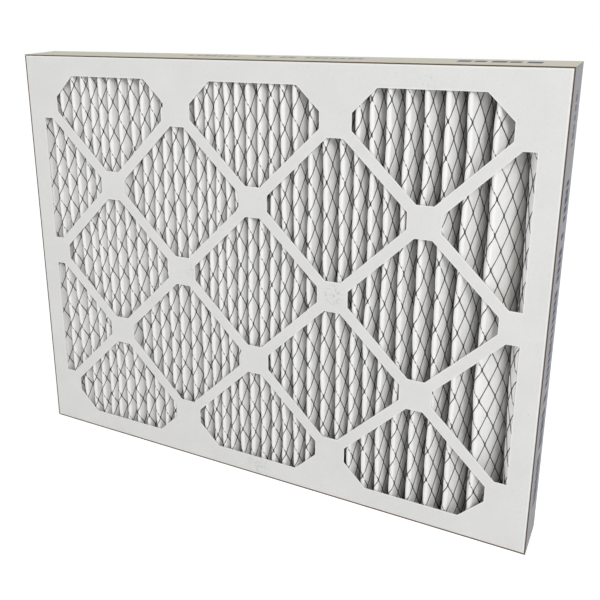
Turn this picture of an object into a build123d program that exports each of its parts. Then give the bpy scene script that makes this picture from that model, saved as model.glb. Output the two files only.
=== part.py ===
"""Pleated panel air filter: a folded media pack with a wire backing, held between two board trays.

Frame: X along the filter's width, Y through its depth (the air leaves at -Y, the front), Z up.
The origin is at the middle of the bottom edge, where the filter stands. Millimetres.
"""
from build123d import *
from math import exp, sin, sqrt
import os

# ---- the whole filter ----
filter_width = 495.3        # 19.5 in, sold as 20
filter_height = 393.7       # 15.5 in, sold as 16
filter_depth = 44.45        # 1.75 in, sold as 2

# ---- the two die-cut board trays ----
board = 0.75                # thickness of the board
fold_radius = 1.15          # outside radius of a folded edge
tray_clearance = 0.15       # between the front tray's flanges and the back tray's
flange_end_gap = 2.7        # between the front tray's free edges and the back tray's panel
rim_step = 0.25             # how far the back tray's free edges stay behind the front face
corner_slit = 0.3           # gap where a side flange ends under a long flange

# ---- the windows that the dies punch in both trays ----
border = 19.05              # plain board round the windows
lattice_pitch = 150.4       # from node to node, across and up
strip_width = 9.5           # board strip between two windows
node_reach = 13.8           # from the middle of a node to the cut-off tips round it
smallest_window = 25.0      # a window that the border leaves smaller than this is not punched

# ---- the pleated media ----
media_thickness = 2.4
pleat_pitch = 11.7          # between pleats in the even part of the pack
pleat_wobble = 0.079        # unevenness of the pleats, as a share of the pitch for each wave of it
pleat_waves = ((0.44, 2.98), (0.18, 2.07), (1.09, 5.78))   # each wave's turn from pleat to pleat and its start
ridge_flats = 4             # narrow flats in which the wire and the media under it turn over a ridge
slack = 1.41                # how much wider the last pleat is than an even one, as a share
slack_pleats = 1.9          # how fast the slack fades, in pleats from the right end
slack_lean = 0.15           # how far right of its middle the last pleat folds back, as a share of its width
left_end = 14.1             # from the pack's left end to its first front ridge
right_end = 16.8            # from the last front ridge to the pack's right end
flap_setback = 10.5         # how far the end flaps, glued to the side flanges, stop behind the pack's front
glue_gap = 0.12             # between the pack and the board that it touches

# ---- the expanded wire sheet on the leaving side of the media ----
wire_thickness = 0.5
wire_gap = 0.05             # between the wire sheet and the media
mesh_count_right = 2        # diamond openings in a flank that faces right
mesh_count_left = 1         # diamond openings in a flank that faces left
mesh_strip = 18.0           # wire left between two openings of one flank
mesh_edge = 2.2             # wire left between an opening and the ridge or valley beside it
mesh_bond = 16.0            # height of an opening's blunt ends, at the ridge and in the valley

# ---- worked out from the above ----
front_tray_width = filter_width - 2 * (board + tray_clearance)
front_tray_height = filter_height - 2 * (board + tray_clearance)
pack_inset = board + glue_gap
pack_width = front_tray_width - 2 * pack_inset
pack_height = front_tray_height - 2 * pack_inset
pack_front = pack_inset - filter_depth / 2
pack_back = filter_depth / 2 - pack_inset
media_front = pack_front + wire_thickness + wire_gap
flap_edge = pack_front + flap_setback
mesh_height = pack_height / mesh_count_right - mesh_strip


def lattice_windows():
    """The windows of one panel, as sketches centred on it: diamonds with cut-off tips inside a border."""
    cell = lattice_pitch / sqrt(2)
    tip_to_tip = lattice_pitch - 2 * node_reach
    window = Rot(0, 0, 45) * Rectangle(cell - strip_width, cell - strip_width)
    window &= Rectangle(tip_to_tip, tip_to_tip)
    open_width = filter_width - 2 * border
    open_height = filter_height - 2 * border
    columns = int(filter_width / lattice_pitch) + 1
    rows = int(filter_height / lattice_pitch) + 1
    windows = []
    for column in range(-columns, columns + 1):
        for row in range(-rows, rows + 1):
            x = column * lattice_pitch / 2
            y = row * lattice_pitch / 2
            width_left = (open_width + tip_to_tip) / 2 - abs(x)
            height_left = (open_height + tip_to_tip) / 2 - abs(y)
            if (column + row) % 2 == 0 and min(width_left, height_left) > smallest_window:
                windows.append(Pos(x, y) * window & Rectangle(open_width, open_height))
    return windows


def folded_tray(width, height, depth):
    """A board tray with its panel's outer face on the XY plane and its four flanges standing up from it."""
    centred = (Align.CENTER, Align.CENTER, Align.MIN)
    outside = Box(width, height, depth, align=centred)
    outside = fillet(outside.faces().sort_by(Axis.Z)[0].edges(), fold_radius)
    inside = Pos(0, 0, board) * Box(width - 2 * board, height - 2 * board, depth, align=centred)
    in_corner = (Align.MAX, Align.MAX, Align.MIN)
    slit = Pos(width / 2, height / 2 - board, fold_radius) * Box(board, corner_slit, depth, align=in_corner)
    slit_pair = [slit, mirror(slit, Plane.YZ)]
    slits = slit_pair + [mirror(each, Plane.XZ) for each in slit_pair]
    punched = [extrude(window, board) for window in lattice_windows()]
    return outside - inside - slits - punched


def front_tray():
    """The inner tray. Its panel is the filter's front, and its flanges go back inside the outer tray."""
    panel = Plane(origin=(0, -filter_depth / 2, filter_height / 2), x_dir=(1, 0, 0), z_dir=(0, 1, 0))
    return panel * folded_tray(front_tray_width, front_tray_height, filter_depth - board - flange_end_gap)


def back_tray():
    """The outer tray. Its panel is the filter's back, and its flanges come forward to the front face."""
    panel = Plane(origin=(0, filter_depth / 2, filter_height / 2), x_dir=(1, 0, 0), z_dir=(0, -1, 0))
    return panel * folded_tray(filter_width, filter_height, filter_depth - rim_step)


def ridge_places():
    """X of every front ridge: pleats that wobble a little and slacken towards the right end."""
    first = left_end - pack_width / 2
    last = pack_width / 2 - right_end
    slack_in_all = slack / (1 - exp(-1 / slack_pleats))
    count = round((last - first) / pleat_pitch - slack_in_all)
    shares = []
    for pleat in range(count):
        slackened = 1 + slack * exp((pleat - count + 1) / slack_pleats)
        uneven = 1 + pleat_wobble * sum(sin(turn * pleat + start) for turn, start in pleat_waves)
        shares.append(slackened * uneven)
    unit = (last - first) / sum(shares)
    places = [first]
    for share in shares:
        places.append(places[-1] + share * unit)
    return places


def front_creases():
    """The inner corner of each front fold, on the entering side of the media."""
    return [Vector(x, media_front + media_thickness) for x in ridge_places()]


def back_creases():
    """The inner corner of each back fold, on the leaving side of the media, those at the end flaps too."""
    ridges = ridge_places()
    count = len(ridges) - 1
    leans = [slack_lean * exp((pleat - count + 1) / slack_pleats) for pleat in range(count)]
    valleys = [left + (right - left) * (0.5 + lean) for left, right, lean in zip(ridges, ridges[1:], leans)]
    flap_side = pack_width / 2 - media_thickness
    return [Vector(x, pack_back - media_thickness) for x in [-flap_side] + valleys + [flap_side]]


def flank_normal(front, back):
    """Unit normal of the flank between a front and a back crease, towards the leaving side."""
    span = back - front
    along = span.normalized()
    lean = media_thickness / span.length
    facing = 1 if span.X > 0 else -1
    across = Vector(along.Y, -along.X) * facing
    return along * lean + across * sqrt(1 - lean**2)


def flank_normals():
    """The normals of all flat stretches from left to right: end flap, every pleat's two flanks, end flap."""
    backs = back_creases()
    normals = [Vector(1, 0)]
    for front, left_back, right_back in zip(front_creases(), backs, backs[1:]):
        normals.append(flank_normal(front, left_back))
        normals.append(flank_normal(front, right_back))
    return normals + [Vector(-1, 0)]


def corner(crease, normal, next_normal, distance):
    """Where two flats meet that both lie at a distance from a crease, given their normals."""
    return crease + (normal + next_normal) * (distance / (1 + normal.dot(next_normal)))


def leaving_flats(offset):
    """Start and end of each flat stretch, left to right, of the leaving side moved off by offset."""
    normals = flank_normals()
    flap_side = pack_width / 2 - media_thickness - offset
    ends = [Vector(-flap_side, flap_edge)]
    for index, back in enumerate(back_creases()):
        valley = corner(back, normals[2 * index], normals[2 * index + 1], offset)
        ends += [valley, valley]
        if index < len(front_creases()):
            front = front_creases()[index]
            reach = media_thickness + offset
            ends += [front + normals[2 * index + 1] * reach, front + normals[2 * index + 2] * reach]
    ends.append(Vector(flap_side, flap_edge))
    return list(zip(ends[::2], ends[1::2]))


def leaving_side(offset):
    """The edges, left to right, of the leaving side moved off the media by offset."""
    normals = flank_normals()
    flats = leaving_flats(offset)
    points = [flats[0][0], flats[0][1]]
    for index, front in enumerate(front_creases()):
        left, right = normals[2 * index + 1], normals[2 * index + 2]
        step = left.get_angle(right) / ridge_flats
        reach = media_thickness + offset
        points += [front + left.rotate(Axis.Z, step * flat) * reach for flat in range(ridge_flats + 1)]
        points.append(flats[2 * index + 2][1])
    points.append(flats[-1][1])
    return [Line(start, end) for start, end in zip(points, points[1:])]


def entering_side():
    """The edges of the media's entering side, right to left: sharp front creases and rounded back folds."""
    normals = flank_normals()
    fronts = front_creases()
    backs = back_creases()
    here = Vector(pack_width / 2, flap_edge)
    edges = []
    for index in reversed(range(len(backs))):
        start = backs[index] - normals[2 * index + 1] * media_thickness
        bottom = backs[index] + Vector(0, media_thickness)
        end = backs[index] - normals[2 * index] * media_thickness
        edges += [Line(here, start), ThreePointArc(start, bottom, end)]
        here = end
        if index > 0:
            edges.append(Line(here, fronts[index - 1]))
            here = fronts[index - 1]
    return edges + [Line(here, Vector(-pack_width / 2, flap_edge))]


def pleated_sheet(first_side, second_side):
    """The sheet between two runs of edges, as tall as the pack, standing between the long flanges."""
    ends = [Line(first_side[-1] @ 1, second_side[0] @ 0), Line(second_side[-1] @ 1, first_side[0] @ 0)]
    profile = make_face(Wire(first_side + second_side + ends))
    return Pos(0, 0, (filter_height - pack_height) / 2) * extrude(profile, pack_height, dir=(0, 0, 1))


def pleated_media():
    """The filter media: one sheet folded into pleats, with an end flap against each side flange."""
    return pleated_sheet(leaving_side(0), entering_side())


def mesh_outline(depth):
    """One opening of the wire sheet: a tall diamond with blunt ends, X being the way down the flank."""
    half_height = mesh_height / 2
    half_bond = mesh_bond / 2
    half_depth = depth / 2
    valley_side = [(0, -half_height), (half_depth, -half_bond), (half_depth, half_bond), (0, half_height)]
    ridge_side = [(-half_depth, half_bond), (-half_depth, -half_bond)]
    return Polygon(*valley_side, *ridge_side)


def mesh_openings():
    """The openings through the wire sheet, staggered from flank to flank."""
    openings = []
    for start, end in leaving_flats(wire_gap + wire_thickness)[1:-1]:
        down = (end - start).normalized()
        outwards = Vector(down.Y, -down.X)
        outline = mesh_outline((end - start).length - 2 * mesh_edge)
        count = mesh_count_right if down.Y > 0 else mesh_count_left
        for row in range(count):
            height = filter_height / 2 + (row - (count - 1) / 2) * (mesh_height + mesh_strip)
            flank = Plane(origin=(start + end) / 2 + Vector(0, 0, height), x_dir=down, z_dir=outwards)
            openings.append(extrude(flank * outline, wire_gap + wire_thickness, both=True))
    return openings


def wire_backing():
    """The wire sheet that backs the media: it follows every pleat on the leaving side, end flaps included."""
    near_media = leaving_side(wire_gap)
    away_from_media = [edge.reversed() for edge in reversed(leaving_side(wire_gap + wire_thickness))]
    return pleated_sheet(near_media, away_from_media) - mesh_openings()


sub_parts = {
    "front_tray": front_tray,
    "back_tray": back_tray,
    "pleated_media": pleated_media,
    "wire_backing": wire_backing,
}

os.makedirs("parts", exist_ok=True)
for name, build in sub_parts.items():
    export_step(build(), f"parts/{name}.step")
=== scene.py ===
"""Looks of the pleated panel air filter: folded media, expanded wire, board trays, light, floor and camera.

Metres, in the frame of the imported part: X along the width, Y from the front face to the back, Z up.
"""
from math import exp, pi, radians, sin, sqrt

import bpy
import numpy as np
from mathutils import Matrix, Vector


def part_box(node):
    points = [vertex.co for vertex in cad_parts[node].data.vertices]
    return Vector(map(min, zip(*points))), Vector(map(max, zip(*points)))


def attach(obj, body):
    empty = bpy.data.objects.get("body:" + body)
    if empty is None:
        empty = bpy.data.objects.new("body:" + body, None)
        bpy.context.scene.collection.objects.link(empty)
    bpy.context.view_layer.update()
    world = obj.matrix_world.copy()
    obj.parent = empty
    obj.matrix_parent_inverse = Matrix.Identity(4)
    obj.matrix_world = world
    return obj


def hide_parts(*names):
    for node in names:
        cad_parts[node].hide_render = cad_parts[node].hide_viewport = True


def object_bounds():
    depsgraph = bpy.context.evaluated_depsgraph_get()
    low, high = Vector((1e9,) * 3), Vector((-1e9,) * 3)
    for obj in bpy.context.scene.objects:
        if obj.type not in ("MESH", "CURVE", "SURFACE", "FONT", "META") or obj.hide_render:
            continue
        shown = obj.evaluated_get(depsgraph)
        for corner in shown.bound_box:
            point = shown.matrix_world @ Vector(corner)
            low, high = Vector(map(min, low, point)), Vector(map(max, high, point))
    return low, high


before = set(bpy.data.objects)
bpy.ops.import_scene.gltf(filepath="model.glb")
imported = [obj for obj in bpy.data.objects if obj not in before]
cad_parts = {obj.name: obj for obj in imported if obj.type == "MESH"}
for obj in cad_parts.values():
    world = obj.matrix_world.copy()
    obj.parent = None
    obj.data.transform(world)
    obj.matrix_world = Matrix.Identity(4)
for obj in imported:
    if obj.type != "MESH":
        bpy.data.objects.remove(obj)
cad_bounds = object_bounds()

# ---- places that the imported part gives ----
filter_high = cad_bounds[1]
half_width = filter_high.x
half_depth = filter_high.y
filter_height = filter_high.z
pack_low, pack_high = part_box("pleated_media")
pack_half = pack_high.x
media_front = pack_low.y
pack_back = pack_high.y
pack_height = pack_high.z - pack_low.z

# ---- the pleats, as in the part's source ----
media_thickness = 0.0024
pleat_pitch = 0.0117
pleat_wobble = 0.079
pleat_waves = ((0.44, 2.98), (0.18, 2.07), (1.09, 5.78))
slack = 1.41
slack_pleats = 1.9
slack_lean = 0.15
left_end = 0.0141
right_end = 0.0168
flap_setback = 0.0105
wire_thickness = 0.0005
wire_gap = 0.00005
flap_edge = media_front - wire_thickness - wire_gap + flap_setback

# ---- the diamond lattice of a tray, as in the part's source ----
border = 0.01905
lattice_pitch = 0.1504
strip_width = 0.0095
node_reach = 0.0138
cell = lattice_pitch * sqrt(0.5)

# ---- how finely the media is meshed ----
rows_up = 86                # rows of faces from the bottom to the top
turn_steps = 6              # faces round a ridge of the leaving side
flank_shares = (0.03, 0.07, 0.12, 0.19, 0.28, 0.44, 0.68)     # of the way down a flank of the leaving side
back_flank_steps = 2        # faces down a flank of the entering side
back_turn_steps = 2         # and round each half of its folds

# ---- how unevenly it is folded ----
fold_seed = 11
sway_lengths = (0.210, 0.097, 0.051)        # wavelengths, up the pleat, of its fold's sideways sway
sway_reaches = (0.00060, 0.00040, 0.00020)
dip_reach = 0.0003                          # how far a ridge sinks away from the board
even_bulge = 0.0002                         # how far an even pleat's flank bows out
slack_bulge = 0.0018                        # and a slack one's
pillow_depth = 0.0004                       # how deep the wire presses into a ridge
pressed_share = 0.15                        # how far down a flank it presses, as a share
puff_power = 0.7                            # below 1 the diamonds between the strands puff up steeply
strand_sink = 0.8                           # share of the pressed depth at which the strands lie

# ---- the expanded wire ----
mesh_across = 0.0170        # from bond to bond across the pleats, along the sheet
mesh_up = 0.0280            # and up the pleats
bond_height = 0.0024
strand_width = 0.00098


# ================================================================ the folded profile

def unit(vector):
    return vector / np.linalg.norm(vector)


def ridge_places():
    """X of every front ridge: pleats that wobble a little and slacken towards the right end."""
    first = left_end - pack_half
    last = pack_half - right_end
    slack_in_all = slack / (1 - exp(-1 / slack_pleats))
    count = round((last - first) / pleat_pitch - slack_in_all)
    shares = []
    for pleat in range(count):
        slackened = 1 + slack * exp((pleat - count + 1) / slack_pleats)
        uneven = 1 + pleat_wobble * sum(sin(turn * pleat + start) for turn, start in pleat_waves)
        shares.append(slackened * uneven)
    places = np.concatenate([[0.0], np.cumsum(shares)])
    return first + places * (last - first) / places[-1]


ridges = ridge_places()
slackness = np.exp((np.arange(len(ridges)) - len(ridges) + 2) / slack_pleats)[:-1]
valleys = ridges[:-1] + np.diff(ridges) * (0.5 + slack_lean * slackness)
flap_side = pack_half - media_thickness
front_creases = [np.array([x, media_front + media_thickness]) for x in ridges]
back_creases = [np.array([x, pack_back - media_thickness]) for x in [-flap_side, *valleys, flap_side]]


def flank_normal(front, back):
    """Unit normal of the flank between a front and a back crease, towards the leaving side."""
    span = back - front
    along = unit(span)
    lean = media_thickness / np.linalg.norm(span)
    facing = 1 if span[0] > 0 else -1
    across = np.array([along[1], -along[0]]) * facing
    return along * lean + across * np.sqrt(1 - lean**2)


def flat_normals():
    """Normals of all flat stretches from left to right: end flap, every pleat's two flanks, end flap."""
    normals = [np.array([1.0, 0.0])]
    for front, left_back, right_back in zip(front_creases, back_creases, back_creases[1:]):
        normals += [flank_normal(front, left_back), flank_normal(front, right_back)]
    return normals + [np.array([-1.0, 0.0])]


normals = flat_normals()


def turned(start, end, share):
    """A unit vector on the way round from one unit vector to another."""
    angle = np.arccos(np.clip(start @ end, -1, 1))
    return (start * np.sin((1 - share) * angle) + end * np.sin(share * angle)) / np.sin(angle)


class Profile:
    """Columns of one side of the media: place, direction away from the media, and where on a pleat each lies."""

    def __init__(self):
        self.place, self.away, self.depth, self.ridge, self.valley, self.flat = [], [], [], [], [], []

    def add(self, place, away, depth, ridge, valley, flat):
        self.place.append(place)
        self.away.append(away)
        self.depth.append(depth)        # 0 on a ridge, 1 in a valley
        self.ridge.append(min(max(ridge, 0), len(ridges) - 1))
        self.valley.append(valley)
        self.flat.append(flat)

    def done(self):
        for name, column in vars(self).items():
            setattr(self, name, np.array(column))
        steps = np.linalg.norm(np.diff(self.place, axis=0), axis=1)
        self.along = np.concatenate([[0.0], np.cumsum(steps)])
        return self


def leaving_profile():
    """The leaving side from the left flap to the right one: rounded ridges and sharp valleys."""
    profile = Profile()
    profile.add(np.array([-flap_side, flap_edge]), normals[0], 1, 0, 0, 0)
    for valley, back in enumerate(back_creases):
        before, after = normals[2 * valley], normals[2 * valley + 1]
        mitre = (before + after) / (1 + before @ after)
        profile.add(back, mitre, 1, valley, valley, 2 * valley)
        if valley == len(ridges):
            break
        front = front_creases[valley]
        left, right = normals[2 * valley + 1], normals[2 * valley + 2]
        rise = front + left * media_thickness
        fall = front + right * media_thickness
        next_back = back_creases[valley + 1]
        for share in reversed(flank_shares):
            profile.add(rise + (back - rise) * share, left, share, valley, valley, 2 * valley + 1)
        for step in range(turn_steps + 1):
            away = turned(left, right, step / turn_steps)
            flat = 2 * valley + (1 if 2 * step <= turn_steps else 2)
            profile.add(front + away * media_thickness, away, 0, valley, valley, flat)
        for share in flank_shares:
            profile.add(fall + (next_back - fall) * share, right, share, valley, valley + 1, 2 * valley + 2)
    profile.add(np.array([flap_side, flap_edge]), normals[-1], 1, len(ridges) - 1, len(ridges), len(normals) - 1)
    return profile.done()


def entering_profile():
    """The entering side from left to right: sharp front creases and rounded back folds."""
    profile = Profile()
    profile.add(np.array([-pack_half, flap_edge]), -normals[0], 1, 0, 0, 0)
    for valley, back in enumerate(back_creases):
        before, after = -normals[2 * valley], -normals[2 * valley + 1]
        middle = np.array([0.0, 1.0])
        aways = [turned(before, middle, step / back_turn_steps) for step in range(back_turn_steps)]
        aways += [turned(middle, after, step / back_turn_steps) for step in range(back_turn_steps + 1)]
        for away in aways:
            profile.add(back + away * media_thickness, away, 1, valley, valley, 2 * valley + 1)
        if valley == len(ridges):
            break
        here = back + after * media_thickness
        front = front_creases[valley]
        for step in range(1, back_flank_steps + 1):
            share = step / back_flank_steps
            profile.add(here + (front - here) * share, after, 1 - share, valley, valley, 2 * valley + 1)
        there = back_creases[valley + 1] - normals[2 * valley + 2] * media_thickness
        for step in range(1, back_flank_steps):
            share = step / back_flank_steps
            away = -normals[2 * valley + 2]
            profile.add(front + (there - front) * share, away, share, valley, valley + 1, 2 * valley + 2)
    profile.add(np.array([pack_half, flap_edge]), -normals[-1], 1, len(ridges) - 1, len(ridges), 0)
    return profile.done()


leaving = leaving_profile()
entering = entering_profile()

# ================================================================ its unevenness

chance = np.random.default_rng(fold_seed)
ridge_phases = chance.uniform(0, 2 * pi, (len(ridges), len(sway_lengths)))
valley_phases = chance.uniform(0, 2 * pi, (len(back_creases), len(sway_lengths)))
ridge_swings = chance.uniform(0.5, 1.2, len(ridges))
flat_phases = chance.uniform(0, 2 * pi, len(normals))
flat_bows = chance.uniform(-0.4, 1.0, len(normals))


def sway(phases, up):
    """Sideways wander of the folds at heights up, one row a fold."""
    waves = zip(sway_reaches, sway_lengths, phases.T)
    return sum(reach * np.sin(2 * pi * up / length + phase[:, None]) for reach, length, phase in waves)


def pillow(along, up):
    """0 along the strands of wire and 1 in the middle of each diamond between them."""
    across = along / mesh_across
    rise = up / mesh_up
    return np.abs(np.sin(pi * (across + rise)) * np.sin(pi * (across - rise)))


def pressed(profile):
    """How far the wire presses the sheet in, column by column: all the way on a ridge, fading down the flanks."""
    fading = np.clip(1 - profile.depth / pressed_share, 0, 1)
    return pillow_depth * fading * fading * (3 - 2 * fading)


def shifted(profile, up):
    """Places of a profile's columns at heights up, an array of columns by heights by (X, Y, Z)."""
    ridge_sway = (sway(ridge_phases, up) * ridge_swings[:, None])[profile.ridge]
    valley_sway = sway(valley_phases, up)
    valley_sway[[0, -1]] = 0
    valley_sway = valley_sway[profile.valley]
    dips = dip_reach * (1 + np.sin(2 * pi * up / sway_lengths[1] + ridge_phases[:, :1] * 3)) / 2
    depth = profile.depth[:, None]
    bow = even_bulge * flat_bows
    bow[2:-2] += slack_bulge * np.repeat(slackness, 2)
    bow = bow[:, None] * (1 + 0.35 * np.sin(2 * pi * up / sway_lengths[0] + flat_phases[:, None]))
    bow = bow[profile.flat] * np.sin(pi * depth)
    flat_away = np.array(normals)[profile.flat]
    x = profile.place[:, :1] + ridge_sway * (1 - depth) + valley_sway * depth + flat_away[:, :1] * bow
    y = profile.place[:, 1:] + dips[profile.ridge] * (1 - depth) + flat_away[:, 1:] * bow
    z = np.broadcast_to(up, x.shape) + pack_low.z
    return np.stack([x, y, z], axis=2)


heights = np.linspace(0, pack_height, rows_up + 1)


# ================================================================ meshes

def mesh_piece(name, points, faces, material, sharp_angle=60):
    """A smooth mesh object with edges left sharp where its faces turn by more than the angle."""
    mesh = bpy.data.meshes.new(name)
    mesh.from_pydata(points.tolist(), [], faces)
    mesh.shade_smooth()
    mesh.set_sharp_from_angle(angle=radians(sharp_angle))
    mesh.materials.append(material)
    piece = bpy.data.objects.new(name, mesh)
    bpy.context.scene.collection.objects.link(piece)
    return piece


def add_attribute(piece, name, values):
    """Stores three numbers for each point, for the material to read."""
    attribute = piece.data.attributes.new(name, "FLOAT_VECTOR", "POINT")
    attribute.data.foreach_set("vector", np.asarray(values, np.float32).ravel())


def grid_faces(columns, rows, first, outwards):
    """Quads of a grid whose points run up each column in turn."""
    corner = (first + np.arange(columns - 1)[:, None] * rows + np.arange(rows - 1)[None, :]).ravel()
    quads = np.stack([corner, corner + rows, corner + rows + 1, corner + 1], axis=1)
    return (quads if outwards else quads[:, ::-1]).tolist()


def folded_media(material):
    """The media as one closed sheet, with the wire's pattern pressed into its ridges."""
    front = shifted(leaving, heights)
    sunk = pressed(leaving)[:, None] * (1 - pillow(leaving.along[:, None], heights) ** puff_power)
    front[:, :, :2] -= leaving.away[:, None, :] * sunk[:, :, None]
    back = shifted(entering, heights)
    rows = len(heights)
    points = np.concatenate([front.reshape(-1, 3), back.reshape(-1, 3)])
    first_back = len(leaving.along) * rows
    faces = grid_faces(len(leaving.along), rows, 0, True)
    faces += grid_faces(len(entering.along), rows, first_back, False)
    last_front, last_back = first_back - rows, len(points) - rows
    for row in range(rows - 1):
        faces.append([row, row + 1, first_back + row + 1, first_back + row])
        faces.append([last_front + row + 1, last_front + row, last_back + row, last_back + row + 1])
    front_ring = [column * rows for column in range(len(leaving.along))]
    back_ring = [first_back + column * rows for column in range(len(entering.along))]
    faces.append(back_ring + front_ring[::-1])
    faces.append([point + rows - 1 for point in front_ring + back_ring[::-1]])
    piece = mesh_piece("media", points, faces, material)
    values = np.zeros((len(points), 3))
    for profile, first, side in ((leaving, 0, 1.0), (entering, first_back, 0.0)):
        count = len(profile.along) * rows
        values[first:first + count, 0] = np.repeat(profile.along, rows)
        values[first:first + count, 1] = np.tile(heights, len(profile.along))
        values[first:first + count, 2] = side
    add_attribute(piece, "sheet_place", values)
    return piece


def on_sheet(along, up, lift):
    """Points at distances along and up the leaving side, lifted off it."""
    column = np.clip(np.searchsorted(leaving.along, along) - 1, 0, len(leaving.along) - 2)
    share = ((along - leaving.along[column]) / (leaving.along[column + 1] - leaving.along[column]))[:, None]
    row = np.clip((up / pack_height * rows_up).astype(int), 0, rows_up - 1)
    rise = (up / pack_height * rows_up - row)[:, None]

    def at(columns):
        low, high = media_grid[columns, row], media_grid[columns, row + 1]
        point = low * (1 - rise) + high * rise
        point[:, :2] += leaving.away[columns] * (lift - sunk[columns, None])
        return point

    point = at(column) * (1 - share) + at(column + 1) * share
    point[:, 2] = pack_low.z + up
    return point


media_grid = shifted(leaving, heights)
sunk = pressed(leaving) * strand_sink


def strand_path(strip, bends):
    """Stations (along, up) of one zigzag strand between two columns of bonds, from bottom to top."""
    left = strip * mesh_across / 2
    stations = []
    half = mesh_up / 2
    for turn in range(-1, int(pack_height / half) + 2):
        to_left = (turn + strip) % 2 == 0
        along = left + strand_width / 2 if to_left else left + mesh_across / 2 - strand_width / 2
        for end in (-bond_height / 2, bond_height / 2):
            stations.append((along, turn * half + end))
    stations = np.array(stations)
    crossed = bends[(bends > left + strand_width) & (bends < left + mesh_across / 2 - strand_width)]
    extra = []
    for (one, low), (two, high) in zip(stations, stations[1:]):
        if one != two:
            extra += [(bend, low + (high - low) * (bend - one) / (two - one)) for bend in crossed]
    if extra:
        stations = np.concatenate([stations, np.array(extra)])
    stations = stations[np.argsort(stations[:, 1])]
    ends = np.interp([0, pack_height], stations[:, 1], stations[:, 0])
    inside = (stations[:, 1] > 0) & (stations[:, 1] < pack_height)
    return np.concatenate([[[ends[0], 0]], stations[inside], [[ends[1], pack_height]]])


def wire_net(material):
    """The expanded wire, as three-sided strands that zigzag up the sheet and meet in bonds."""
    on_ridge = np.flatnonzero(leaving.depth == 0).reshape(len(ridges), turn_steps + 1)
    bends = np.sort(leaving.along[np.concatenate([on_ridge[:, ::2].ravel(), np.flatnonzero(leaving.depth == 1)])])
    points, faces = [], []
    first = 0
    half_strand = strand_width / 2
    for strip in range(int((leaving.along[-1] - strand_width) / (mesh_across / 2))):
        path = strand_path(strip, bends)
        heading = np.gradient(path, axis=0)
        heading /= np.linalg.norm(heading, axis=1)[:, None]
        side = np.stack([heading[:, 1], -heading[:, 0]], axis=1) * half_strand
        rails = []
        for shift, lift in ((-1, wire_gap), (1, wire_gap), (0, wire_gap + wire_thickness)):
            along = np.clip(path[:, 0] + shift * side[:, 0], 0, leaving.along[-1])
            up = np.clip(path[:, 1] + shift * side[:, 1], 0, pack_height)
            rails.append(on_sheet(along, up, lift))
        count = len(path)
        points += rails
        low = first + np.arange(count - 1)
        for one, two in ((0, 1), (1, 2), (2, 0)):
            quads = np.stack([low + one * count, low + one * count + 1, low + two * count + 1, low + two * count], 1)
            faces += quads.tolist()
        faces.append([first, first + count, first + 2 * count])
        faces.append([first + 3 * count - 1, first + 2 * count - 1, first + count - 1])
        first += 3 * count
    return mesh_piece("wire_net", np.concatenate(points), faces, material, sharp_angle=80)


# ================================================================ node words

class Nodes:
    """Short words for building one node tree."""

    def __init__(self, tree):
        self.tree = tree

    def add(self, kind, inputs=(), **settings):
        node = self.tree.nodes.new(kind)
        for name, value in settings.items():
            setattr(node, name, value)
        for name, value in dict(inputs).items():
            self.feed(node.inputs[name], value)
        return node

    def feed(self, socket, value):
        if isinstance(value, bpy.types.NodeSocket):
            self.tree.links.new(value, socket)
        else:
            socket.default_value = value

    def math(self, operation, *values, clamp=False):
        node = self.add("ShaderNodeMath", operation=operation, use_clamp=clamp)
        for socket, value in zip(node.inputs, values):
            self.feed(socket, value)
        return node.outputs[0]

    def step(self, value, low, high, out_low=0.0, out_high=1.0):
        """Rises smoothly from out_low to out_high as value goes from low to high."""
        inputs = {"Value": value, "From Min": low, "From Max": high, "To Min": out_low, "To Max": out_high}
        return self.add("ShaderNodeMapRange", inputs, interpolation_type="SMOOTHSTEP").outputs[0]

    def within(self, value, middle, half, soft):
        """1 where value lies within half of middle, fading to 0 over soft."""
        away = self.math("ABSOLUTE", self.math("SUBTRACT", value, middle))
        return self.step(away, self.math("SUBTRACT", half, soft), half, 1.0, 0.0)

    def mix(self, share, one, two, blend="MIX"):
        node = self.add("ShaderNodeMix", data_type="RGBA", blend_type=blend)
        for socket, value in zip((node.inputs[0], node.inputs[6], node.inputs[7]), (share, one, two)):
            self.feed(socket, value)
        return node.outputs[2]

    def noise(self, place, size, detail=2.0, roughness=0.5, stretch=None):
        """Cloudy noise whose patches are about size across."""
        if stretch:
            place = self.add("ShaderNodeMapping", {"Vector": place, "Scale": stretch}).outputs[0]
        inputs = {"Vector": place, "Scale": 1 / size, "Detail": detail, "Roughness": roughness}
        return self.add("ShaderNodeTexNoise", inputs).outputs[0]

    def group(self, tree, inputs=()):
        node = self.add("ShaderNodeGroup", node_tree=tree)
        for name, value in dict(inputs).items():
            self.feed(node.inputs[name], value)
        return node.outputs


def new_group(name, inputs, outputs):
    """An empty shader group, with what its tree needs: the words, the inputs' sockets and the output node."""
    tree = bpy.data.node_groups.new(name, "ShaderNodeTree")
    for label, value in inputs.items():
        kind = "NodeSocketFloat" if isinstance(value, float) else "NodeSocketVector"
        socket = tree.interface.new_socket(label, in_out="INPUT", socket_type=kind)
        if isinstance(value, float):
            socket.default_value = value
    for label in outputs:
        tree.interface.new_socket(label, in_out="OUTPUT", socket_type="NodeSocketFloat")
    nodes = Nodes(tree)
    return tree, nodes, nodes.add("NodeGroupInput").outputs, nodes.add("NodeGroupOutput").inputs


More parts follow.
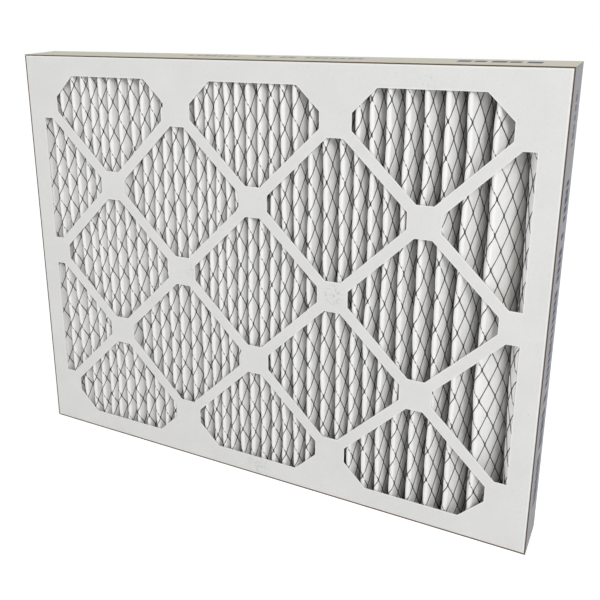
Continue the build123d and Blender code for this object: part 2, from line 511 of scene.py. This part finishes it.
def board_mottle_group():
    """Faint clouds and fibre flecks of coated board: a shade round 1 and a height."""
    group_inputs = {"Place": None, "Cloud Size": 0.03, "Fleck Size": 0.0012, "Strength": 0.02}
    tree, nodes, given, out = new_group("board_mottle", group_inputs, ["Shade", "Height"])
    cloud_inputs = {"Vector": given["Place"], "Detail": 3.0, "Scale": nodes.math("DIVIDE", 1.0, given["Cloud Size"])}
    cloud = nodes.add("ShaderNodeTexNoise", cloud_inputs).outputs[0]
    fleck_inputs = {"Vector": given["Place"], "Detail": 2.0, "Scale": nodes.math("DIVIDE", 1.0, given["Fleck Size"])}
    fleck = nodes.add("ShaderNodeTexNoise", fleck_inputs).outputs[0]
    both = nodes.math("ADD", nodes.math("MULTIPLY", cloud, 1.2), fleck)
    centred = nodes.math("SUBTRACT", both, 1.1)
    nodes.feed(out["Shade"], nodes.math("MULTIPLY_ADD", centred, given["Strength"], 1.0))
    nodes.feed(out["Height"], fleck)
    return tree


def print_line_group():
    """A line of print as plain bars of uneven length: a mask of the ink."""
    group_inputs = {"Along": 0.0, "Across": 0.0, "Start": 0.0, "End": 0.1, "Middle": 0.0, "Height": 0.006,
                    "Bar Pitch": 0.006, "Fade": 0.2}
    tree, nodes, given, out = new_group("print_line", group_inputs, ["Ink"])
    cells = nodes.math("DIVIDE", given["Along"], given["Bar Pitch"])
    cell = nodes.math("FLOOR", cells)
    luck = nodes.add("ShaderNodeTexWhiteNoise", {"W": cell}, noise_dimensions="1D").outputs[0]
    in_cell = nodes.math("SUBTRACT", cells, cell)
    full_until = nodes.math("MULTIPLY_ADD", luck, 0.35, 0.5)
    bare_from = nodes.math("MULTIPLY_ADD", luck, 0.35, 0.6)
    bar = nodes.step(in_cell, full_until, bare_from, 1.0, 0.0)
    there = nodes.math("GREATER_THAN", luck, 0.16)
    half = nodes.math("MULTIPLY", given["Height"], nodes.math("MULTIPLY_ADD", luck, 0.12, 0.38))
    line = nodes.within(given["Across"], given["Middle"], half, 0.0006)
    after_start = nodes.math("GREATER_THAN", given["Along"], given["Start"])
    before_end = nodes.math("LESS_THAN", given["Along"], given["End"])
    ink = nodes.math("MULTIPLY", nodes.math("MULTIPLY", bar, there), line)
    ink = nodes.math("MULTIPLY", ink, nodes.math("MULTIPLY", after_start, before_end))
    nodes.feed(out["Ink"], nodes.math("MULTIPLY", ink, nodes.math("SUBTRACT", 1.0, given["Fade"])))
    return tree


def window_edge_highlight_group():
    """The narrow band round each window that is painted lighter as a highlight on its punched edges: a mask, 1 along
    the windows' edges.
    """
    group_inputs = {"X": 0.0, "Z": 0.0, "Band": 0.001}
    tree, nodes, given, out = new_group("window_edge_highlight", group_inputs, ["Mask"])
    x = given["X"]
    z = nodes.math("SUBTRACT", given["Z"], filter_height / 2)

    def from_middle(value):
        """Place across one cell of the lattice, from its middle."""
        cells = nodes.math("ROUND", nodes.math("DIVIDE", value, cell))
        return nodes.math("SUBTRACT", value, nodes.math("MULTIPLY", cells, cell))

    def outside(value, reach):
        """How far a place lies outside a reach to either side."""
        return nodes.math("SUBTRACT", nodes.math("ABSOLUTE", value), reach)

    rising = from_middle(nodes.math("MULTIPLY", nodes.math("ADD", x, z), sqrt(0.5)))
    falling = from_middle(nodes.math("MULTIPLY", nodes.math("SUBTRACT", x, z), sqrt(0.5)))
    across = nodes.math("MULTIPLY", nodes.math("ADD", rising, falling), sqrt(0.5))
    upwards = nodes.math("MULTIPLY", nodes.math("SUBTRACT", rising, falling), sqrt(0.5))
    reach = (cell - strip_width) / 2
    tip = lattice_pitch / 2 - node_reach
    distances = [outside(rising, reach), outside(falling, reach), outside(across, tip), outside(upwards, tip),
                 outside(x, half_width - border), outside(z, filter_height / 2 - border)]
    distance = distances[0]
    for other in distances[1:]:
        distance = nodes.math("MAXIMUM", distance, other)
    near = nodes.step(distance, nodes.math("MULTIPLY", given["Band"], 0.5), given["Band"], 1.0, 0.0)
    window_middle = nodes.math("ABSOLUTE", nodes.math("SUBTRACT", z, upwards))
    punched = nodes.math("LESS_THAN", window_middle, filter_height / 2)
    nodes.feed(out["Mask"], nodes.math("MULTIPLY", near, punched))
    return tree


def scuff_group():
    """Small blue-grey rub marks near one place on the board: a mask."""
    group_inputs = {"Place": None, "X": 0.0, "Z": 0.0, "Middle X": 0.0, "Middle Z": 0.0, "Reach": 0.009,
                    "Strength": 0.5}
    tree, nodes, given, out = new_group("scuff", group_inputs, ["Mask"])
    sideways = nodes.math("SUBTRACT", given["X"], given["Middle X"])
    upwards = nodes.math("SUBTRACT", given["Z"], given["Middle Z"])
    distance = nodes.math("SQRT", nodes.math("ADD", nodes.math("MULTIPLY", sideways, sideways),
                                             nodes.math("MULTIPLY", upwards, upwards)))
    here = nodes.step(distance, 0.0, given["Reach"], 1.0, 0.0)
    marks = nodes.noise(given["Place"], 0.0024, detail=3.0, roughness=0.6)
    mask = nodes.math("MULTIPLY", nodes.step(marks, 0.50, 0.64), nodes.math("POWER", here, 0.5))
    nodes.feed(out["Mask"], nodes.math("MULTIPLY", mask, given["Strength"]))
    return tree


board_mottle = board_mottle_group()
print_line = print_line_group()
window_edge_highlight = window_edge_highlight_group()
scuff = scuff_group()


def new_material(name, slot_colour):
    """A material with its node words and its Principled shader."""
    material = bpy.data.materials.new(name)
    material.use_nodes = True
    material.diffuse_color = (*slot_colour, 1)
    return material, Nodes(material.node_tree), material.node_tree.nodes["Principled BSDF"]


def object_place(nodes):
    """Place in the object's own frame, whole and as X, Y and Z."""
    place = nodes.add("ShaderNodeTexCoord").outputs["Object"]
    split = nodes.add("ShaderNodeSeparateXYZ", {"Vector": place}).outputs
    return place, split[0], split[1], split[2]


def true_normal(nodes):
    """Which way the face looks, as X, Y and Z."""
    facing = nodes.add("ShaderNodeNewGeometry").outputs["True Normal"]
    split = nodes.add("ShaderNodeSeparateXYZ", {"Vector": facing}).outputs
    return split[0], split[1], split[2]


# ================================================================ finishes

clay_white = (0.765, 0.763, 0.752, 1)
kraft_brown = (0.300, 0.215, 0.140, 1)
raw_edge_brown = (0.105, 0.078, 0.062, 1)
# painted light and shade: one board as a lit warm copy for top and bottom and a darker grey copy for the sides
lit_warm_board = (0.600, 0.575, 0.475, 1)
shaded_grey_board = (0.300, 0.300, 0.312, 1)
navy_ink = (0.030, 0.034, 0.085, 1)
# painted highlight colour for the front tray's folds and window edges
painted_highlight_white = (0.900, 0.900, 0.890, 1)
scuff_blue = (0.300, 0.340, 0.390, 1)
pale_media = (0.970, 0.966, 0.952, 1)
dull_media = (0.920, 0.911, 0.885, 1)
dark_zinc = (0.030, 0.030, 0.032, 1)
light_zinc = (0.095, 0.095, 0.100, 1)

# middle X, middle Z, reach and strength of each rub mark on the front
scuffs = ((0.0765, 0.1990, 0.011, 0.55), (-0.0157, 0.0455, 0.010, 0.40), (0.1371, 0.0463, 0.012, 0.45),
          (-0.0662, 0.1992, 0.008, 0.30), (0.0020, 0.0090, 0.016, 0.30), (0.1480, 0.3790, 0.012, 0.18))

# start, end, middle, height, bar pitch and fade of each line of print
top_print = ((-0.078, 0.094, 0.004, 0.010, 0.0075, 0.35), (0.156, 0.226, 0.003, 0.013, 0.0125, 0.1))
side_print = ((0.03, 0.31, 0.002, 0.017, 0.0068, 0.0), (0.335, 0.375, 0.002, 0.012, 0.0068, 0.35))


def shaded(nodes, colour, shade):
    """A colour made lighter or darker by a shade round 1."""
    grey = nodes.add("ShaderNodeCombineXYZ", {"X": shade, "Y": shade, "Z": shade}).outputs[0]
    return nodes.mix(1.0, colour, grey, "MULTIPLY")


def printed_lines(nodes, lines, along, across):
    """The ink of several lines of print that run the same way: a mask."""
    ink = 0.0
    for start, end, line_middle, height, bar_pitch, fade in lines:
        line = nodes.group(print_line, {"Along": along, "Across": across, "Start": start, "End": end,
                                        "Middle": line_middle, "Height": height, "Bar Pitch": bar_pitch,
                                        "Fade": fade})["Ink"]
        ink = nodes.math("MAXIMUM", ink, line)
    return ink


def white_board():
    """Front tray: matt clay-coated board, white outside, with a painted highlight along its folds and punched edges,
    brown inside.
    """
    material, nodes, shader = new_material("white_board", clay_white[:3])
    place, x, y, z = object_place(nodes)
    normal_y = true_normal(nodes)[1]
    mottle = nodes.group(board_mottle, {"Place": place, "Strength": 0.09})
    colour = shaded(nodes, clay_white, mottle["Shade"])
    # painted highlight: a lighter white is mixed in along the windows' punched edges and the tray's outer folds
    edge = nodes.group(window_edge_highlight, {"X": x, "Z": z})["Mask"]
    from_side = nodes.math("SUBTRACT", half_width, nodes.math("ABSOLUTE", x))
    from_end = nodes.math("SUBTRACT", filter_height / 2,
                          nodes.math("ABSOLUTE", nodes.math("SUBTRACT", z, filter_height / 2)))
    fold = nodes.step(nodes.math("MINIMUM", from_side, from_end), 0.0016, 0.0026, 1.0, 0.0)
    colour = nodes.mix(nodes.math("MULTIPLY", nodes.math("MAXIMUM", edge, fold), 0.75), colour, painted_highlight_white)
    for middle_x, middle_z, reach, strength in scuffs:
        marks = nodes.group(scuff, {"Place": place, "X": x, "Z": z, "Middle X": middle_x, "Middle Z": middle_z,
                                    "Reach": reach, "Strength": strength})["Mask"]
        colour = nodes.mix(marks, colour, scuff_blue)
    specks = nodes.step(nodes.noise(place, 0.0016, detail=1.0), 0.735, 0.765, 0.0, 0.35)
    colour = nodes.mix(specks, colour, kraft_brown)
    inside = nodes.math("GREATER_THAN", normal_y, 0.5)
    nodes.feed(shader.inputs["Base Color"], nodes.mix(inside, colour, kraft_brown))
    shader.inputs["Roughness"].default_value = 0.6
    shader.inputs["Specular IOR Level"].default_value = 0.35
    bump = nodes.add("ShaderNodeBump", {"Height": mottle["Height"], "Strength": 0.15, "Distance": 0.0002})
    nodes.feed(shader.inputs["Normal"], bump.outputs[0])
    return material


def printed_board():
    """Back tray: one board painted as a lit warm copy on top and bottom and a darker shaded grey copy at the sides,
    with raw brown edges and lines of navy print.
    """
    material, nodes, shader = new_material("printed_board", lit_warm_board[:3])
    place, x, y, z = object_place(nodes)
    normal_x, normal_y, normal_z = true_normal(nodes)
    mottle = nodes.group(board_mottle, {"Place": place, "Strength": 0.07})
    # painted light and shade: faces looking up or down take the lit warm copy of the board, the sides the darker
    # grey one
    on_long = nodes.step(nodes.math("ABSOLUTE", normal_z), 0.5, 0.8)
    colour = nodes.mix(on_long, shaded_grey_board, lit_warm_board)
    on_panel = nodes.step(normal_y, 0.5, 0.8)
    colour = nodes.mix(on_panel, colour, clay_white)
    colour = shaded(nodes, colour, mottle["Shade"])
    top_ink = printed_lines(nodes, top_print, x, y)
    colour = nodes.mix(nodes.math("MULTIPLY", top_ink, nodes.step(normal_z, 0.5, 0.8)), colour, navy_ink)
    side_ink = printed_lines(nodes, side_print, z, y)
    colour = nodes.mix(nodes.math("MULTIPLY", side_ink, nodes.step(normal_x, 0.5, 0.8)), colour, navy_ink)
    raw = nodes.math("LESS_THAN", normal_y, -0.5)
    inner = nodes.math("LESS_THAN", nodes.math("ABSOLUTE", x), half_width - 0.0003)
    inner = nodes.math("MULTIPLY", inner, nodes.within(z, filter_height / 2, filter_height / 2 - 0.0002, 0.0001))
    inner = nodes.math("MULTIPLY", inner, nodes.math("LESS_THAN", y, half_depth - 0.0003))
    colour = nodes.mix(inner, colour, kraft_brown)
    nodes.feed(shader.inputs["Base Color"], nodes.mix(raw, colour, raw_edge_brown))
    shader.inputs["Roughness"].default_value = 0.65
    shader.inputs["Specular IOR Level"].default_value = 0.3
    bump = nodes.add("ShaderNodeBump", {"Height": mottle["Height"], "Strength": 0.2, "Distance": 0.0002})
    nodes.feed(shader.inputs["Normal"], bump.outputs[0])
    return material


def filter_media():
    """Soft white non-woven, puffed up between the strands of wire."""
    material, nodes, shader = new_material("filter_media", (0.9, 0.9, 0.88))
    sheet_place = nodes.add("ShaderNodeAttribute", attribute_name="sheet_place").outputs["Vector"]
    along, up, side = nodes.add("ShaderNodeSeparateXYZ", {"Vector": sheet_place}).outputs
    across = nodes.math("DIVIDE", along, mesh_across)
    rise = nodes.math("DIVIDE", up, mesh_up)
    one = nodes.math("SINE", nodes.math("MULTIPLY", nodes.math("ADD", across, rise), pi))
    two = nodes.math("SINE", nodes.math("MULTIPLY", nodes.math("SUBTRACT", across, rise), pi))
    puff = nodes.math("POWER", nodes.math("ABSOLUTE", nodes.math("MULTIPLY", one, two)), puff_power)
    puff = nodes.math("MULTIPLY", puff, nodes.math("MULTIPLY_ADD", side, 0.85, 0.15))
    lumps = nodes.noise(sheet_place, 0.006, detail=2.0)
    fibres = nodes.noise(sheet_place, 0.0012, detail=4.0, roughness=0.7, stretch=(1, 0.5, 1))
    streaks = nodes.noise(sheet_place, 0.0022, detail=2.0, stretch=(1, 0.05, 1))
    shade = nodes.math("ADD", nodes.math("MULTIPLY", fibres, 0.4), nodes.math("MULTIPLY", lumps, 0.25))
    shade = nodes.math("MULTIPLY_ADD", streaks, 0.5, shade)
    nodes.feed(shader.inputs["Base Color"], nodes.mix(nodes.step(shade, 0.35, 0.75), dull_media, pale_media))
    shader.inputs["Roughness"].default_value = 0.95
    shader.inputs["Specular IOR Level"].default_value = 0.15
    height = nodes.math("MULTIPLY_ADD", puff, 0.00008, nodes.math("MULTIPLY", lumps, 0.0004))
    height = nodes.math("MULTIPLY_ADD", fibres, 0.00018, height)
    height = nodes.math("MULTIPLY_ADD", streaks, 0.00045, height)
    bump = nodes.add("ShaderNodeBump", {"Height": height, "Strength": 1.0, "Distance": 1.0})
    nodes.feed(shader.inputs["Normal"], bump.outputs[0])
    return material


def galvanised_wire():
    """Dull dark zinc-coated wire."""
    material, nodes, shader = new_material("galvanised_wire", (0.15, 0.15, 0.16))
    place = nodes.add("ShaderNodeTexCoord").outputs["Object"]
    spangle = nodes.noise(place, 0.002, detail=2.0)
    nodes.feed(shader.inputs["Base Color"], nodes.mix(spangle, dark_zinc, light_zinc))
    nodes.feed(shader.inputs["Roughness"], nodes.step(spangle, 0.3, 0.7, 0.45, 0.65))
    shader.inputs["Metallic"].default_value = 0.7
    return material


# ================================================================ the object

board_front = white_board()
board_back = printed_board()
for node, finish in (("front_tray", board_front), ("back_tray", board_back)):
    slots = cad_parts[node].data.materials
    slots.clear()
    slots.append(finish)

media = folded_media(filter_media())
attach(media, "root")
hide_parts("pleated_media")

net = wire_net(galvanised_wire())
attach(net, "root")
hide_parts("wire_backing")


# ================================================================ floor, light and camera

def seen_directly(nodes):
    """1 for what the camera sees straight, in a mirror or through glass."""
    path = nodes.add("ShaderNodeLightPath").outputs
    return nodes.math("MAXIMUM", path["Is Camera Ray"],
                      nodes.math("MAXIMUM", path["Is Glossy Ray"], path["Is Transmission Ray"]))


def floor(reach, glow):
    """A pale floor that looks white and keeps the filter's soft shadow."""
    corners = [(-reach, -reach, 0), (reach, -reach, 0), (reach, reach, 0), (-reach, reach, 0)]
    mesh = bpy.data.meshes.new("floor")
    mesh.from_pydata(corners, [], [(0, 1, 2, 3)])
    material, nodes, shader = new_material("floor", (0.9, 0.9, 0.9))
    shader.inputs["Base Color"].default_value = (0.86, 0.86, 0.86, 1)
    shader.inputs["Roughness"].default_value = 0.9
    shader.inputs["Emission Color"].default_value = (1, 1, 1, 1)
    nodes.feed(shader.inputs["Emission Strength"], nodes.math("MULTIPLY", seen_directly(nodes), glow))
    mesh.materials.append(material)
    piece = bpy.data.objects.new("floor", mesh)
    bpy.context.scene.collection.objects.link(piece)


def white_world(ambient):
    """A white surround, dimmer for the light that it gives than for the eye."""
    world = bpy.data.worlds.new("surround")
    bpy.context.scene.world = world
    world.use_nodes = True
    nodes = Nodes(world.node_tree)
    background = world.node_tree.nodes["Background"]
    background.inputs["Color"].default_value = (1, 1, 1, 1)
    direct = seen_directly(nodes)
    nodes.feed(background.inputs["Strength"], nodes.math("MULTIPLY_ADD", direct, 1.0 - ambient, ambient))


def soft_box(name, place, target, width, height, power):
    """A large soft lamp at a place, facing a target."""
    light = bpy.data.lights.new(name, "AREA")
    light.shape = "RECTANGLE"
    light.size = width
    light.size_y = height
    light.energy = power
    lamp = bpy.data.objects.new(name, light)
    lamp.location = place
    lamp.rotation_euler = (Vector(target) - Vector(place)).to_track_quat("-Z", "Y").to_euler()
    bpy.context.scene.collection.objects.link(lamp)


def camera():
    """The eye, to the right of the filter and a little above it."""
    lens = bpy.data.cameras.new("camera")
    lens.sensor_width = 36.0
    lens.lens = 47.726
    lens.shift_x = 0.13333
    lens.shift_y = -0.10833
    lens.clip_start = 0.01
    lens.clip_end = 50.0
    eye = bpy.data.objects.new("camera", lens)
    eye.location = (0.31077, -0.61395, 0.45054)
    eye.rotation_euler = (radians(72.7485), radians(1.4655), radians(29.7255))
    bpy.context.scene.collection.objects.link(eye)
    bpy.context.scene.camera = eye


floor(reach=4.0, glow=0.42)
white_world(ambient=0.69)
middle = (0, 0, filter_height / 2)
soft_box("key", place=(1.3, -1.65, 1.6), target=middle, width=0.55, height=0.55, power=19)
camera()

scene = bpy.context.scene
scene.view_settings.view_transform = "Standard"
